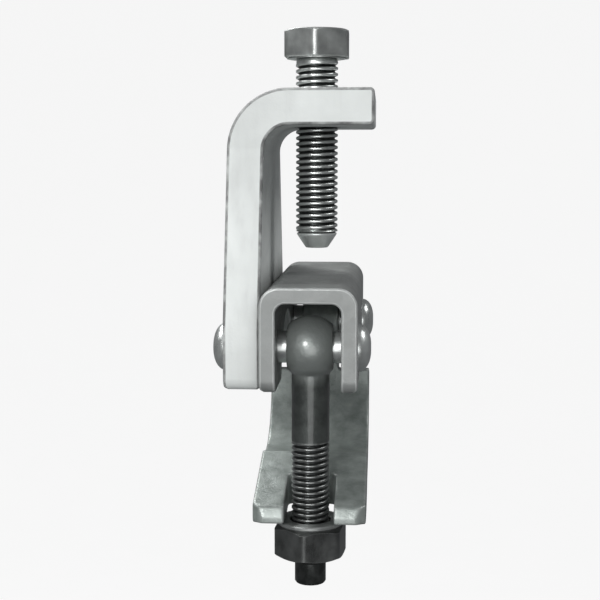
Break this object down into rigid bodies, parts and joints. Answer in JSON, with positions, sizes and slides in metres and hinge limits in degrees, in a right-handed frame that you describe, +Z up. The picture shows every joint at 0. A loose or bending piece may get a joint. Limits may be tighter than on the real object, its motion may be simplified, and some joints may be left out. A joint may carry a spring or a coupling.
{
  "type": "girder clamp",
  "caption": "Beam flange clamp: C bracket with set bolt over a channel saddle, hinged cap and swing-out eye bolt closing round a tube.",
  "frame": {"origin": "centre of the closed tube seat", "axes": "+X along the tube, away from the bracket's leg; -Y towards the eye bolt; +Z up towards the jaw"},
  "size_m": [0.05, 0.096, 0.1767],
  "materials": {
    "painted_bracket": "pale grey paint, slightly worn on the edges",
    "galvanised_channel": "dull grey zinc over pressed steel",
    "pin_steel": "zinc-plated, hammered heads",
    "forged_dark": "dark forged steel, satin",
    "washer_steel": "stamped zinc plate",
    "nut_steel": "machined, darkened zinc plate",
    "bolt_steel": "bright worn thread crests, dark roots",
    "foot_steel": "turned, pale zinc"
  },
  "bodies": {
    "frame": {"beam_bracket": "painted_bracket", "saddle_channel": "galvanised_channel", "eye_bolt_pin": "pin_steel", "cap_pin": "pin_steel"},
    "eye_bolt": {"eye_bolt": "forged_dark"},
    "washer": {"nut_washer": "washer_steel"},
    "nut": {"clamp_nut": "nut_steel"},
    "cap": {"hinged_cap": "forged_dark"},
    "foot": {"swivel_foot": "foot_steel"},
    "set_bolt": {"set_bolt": "bolt_steel"}
  },
  "joints": [
    {"name": "eye_bolt_swing", "type": "hinge", "parent": "frame", "child": "eye_bolt", "pos_m": [0, -0.034, 0.017], "axis": [-1, 0, 0], "range_deg": [0, 115]},
    {"name": "washer_travel", "type": "slide", "parent": "eye_bolt", "child": "washer", "axis": [0, 0, -1], "range_m": [0, 0.0085]},
    {"name": "nut_turn", "type": "hinge", "parent": "washer", "child": "nut", "pos_m": [0, -0.034, -0.0447], "axis": [0, 0, -1], "range_deg": [0, 1749]},
    {"name": "cap_swing", "type": "hinge", "parent": "frame", "child": "cap", "pos_m": [0, 0.034, 0.017], "axis": [1, 0, 0], "range_deg": [0, 6.3]},
    {"name": "foot_travel", "type": "slide", "parent": "frame", "child": "foot", "axis": [0, 0, 1], "range_m": [-0.0083, 0.038]},
    {"name": "set_bolt_turn", "type": "hinge", "parent": "foot", "child": "set_bolt", "pos_m": [0, 0, 0.1], "axis": [0, 0, 1], "range_deg": [-1495, 6841]}
  ],
  "couplings": [
    {"joint": "nut_turn", "follows": "washer_travel", "rad_per_m": 3590.4},
    {"joint": "cap_swing", "follows": "washer_travel", "rad_per_m": 12.8},
    {"joint": "set_bolt_turn", "follows": "foot_travel", "rad_per_m": 3141.6}
  ]
}
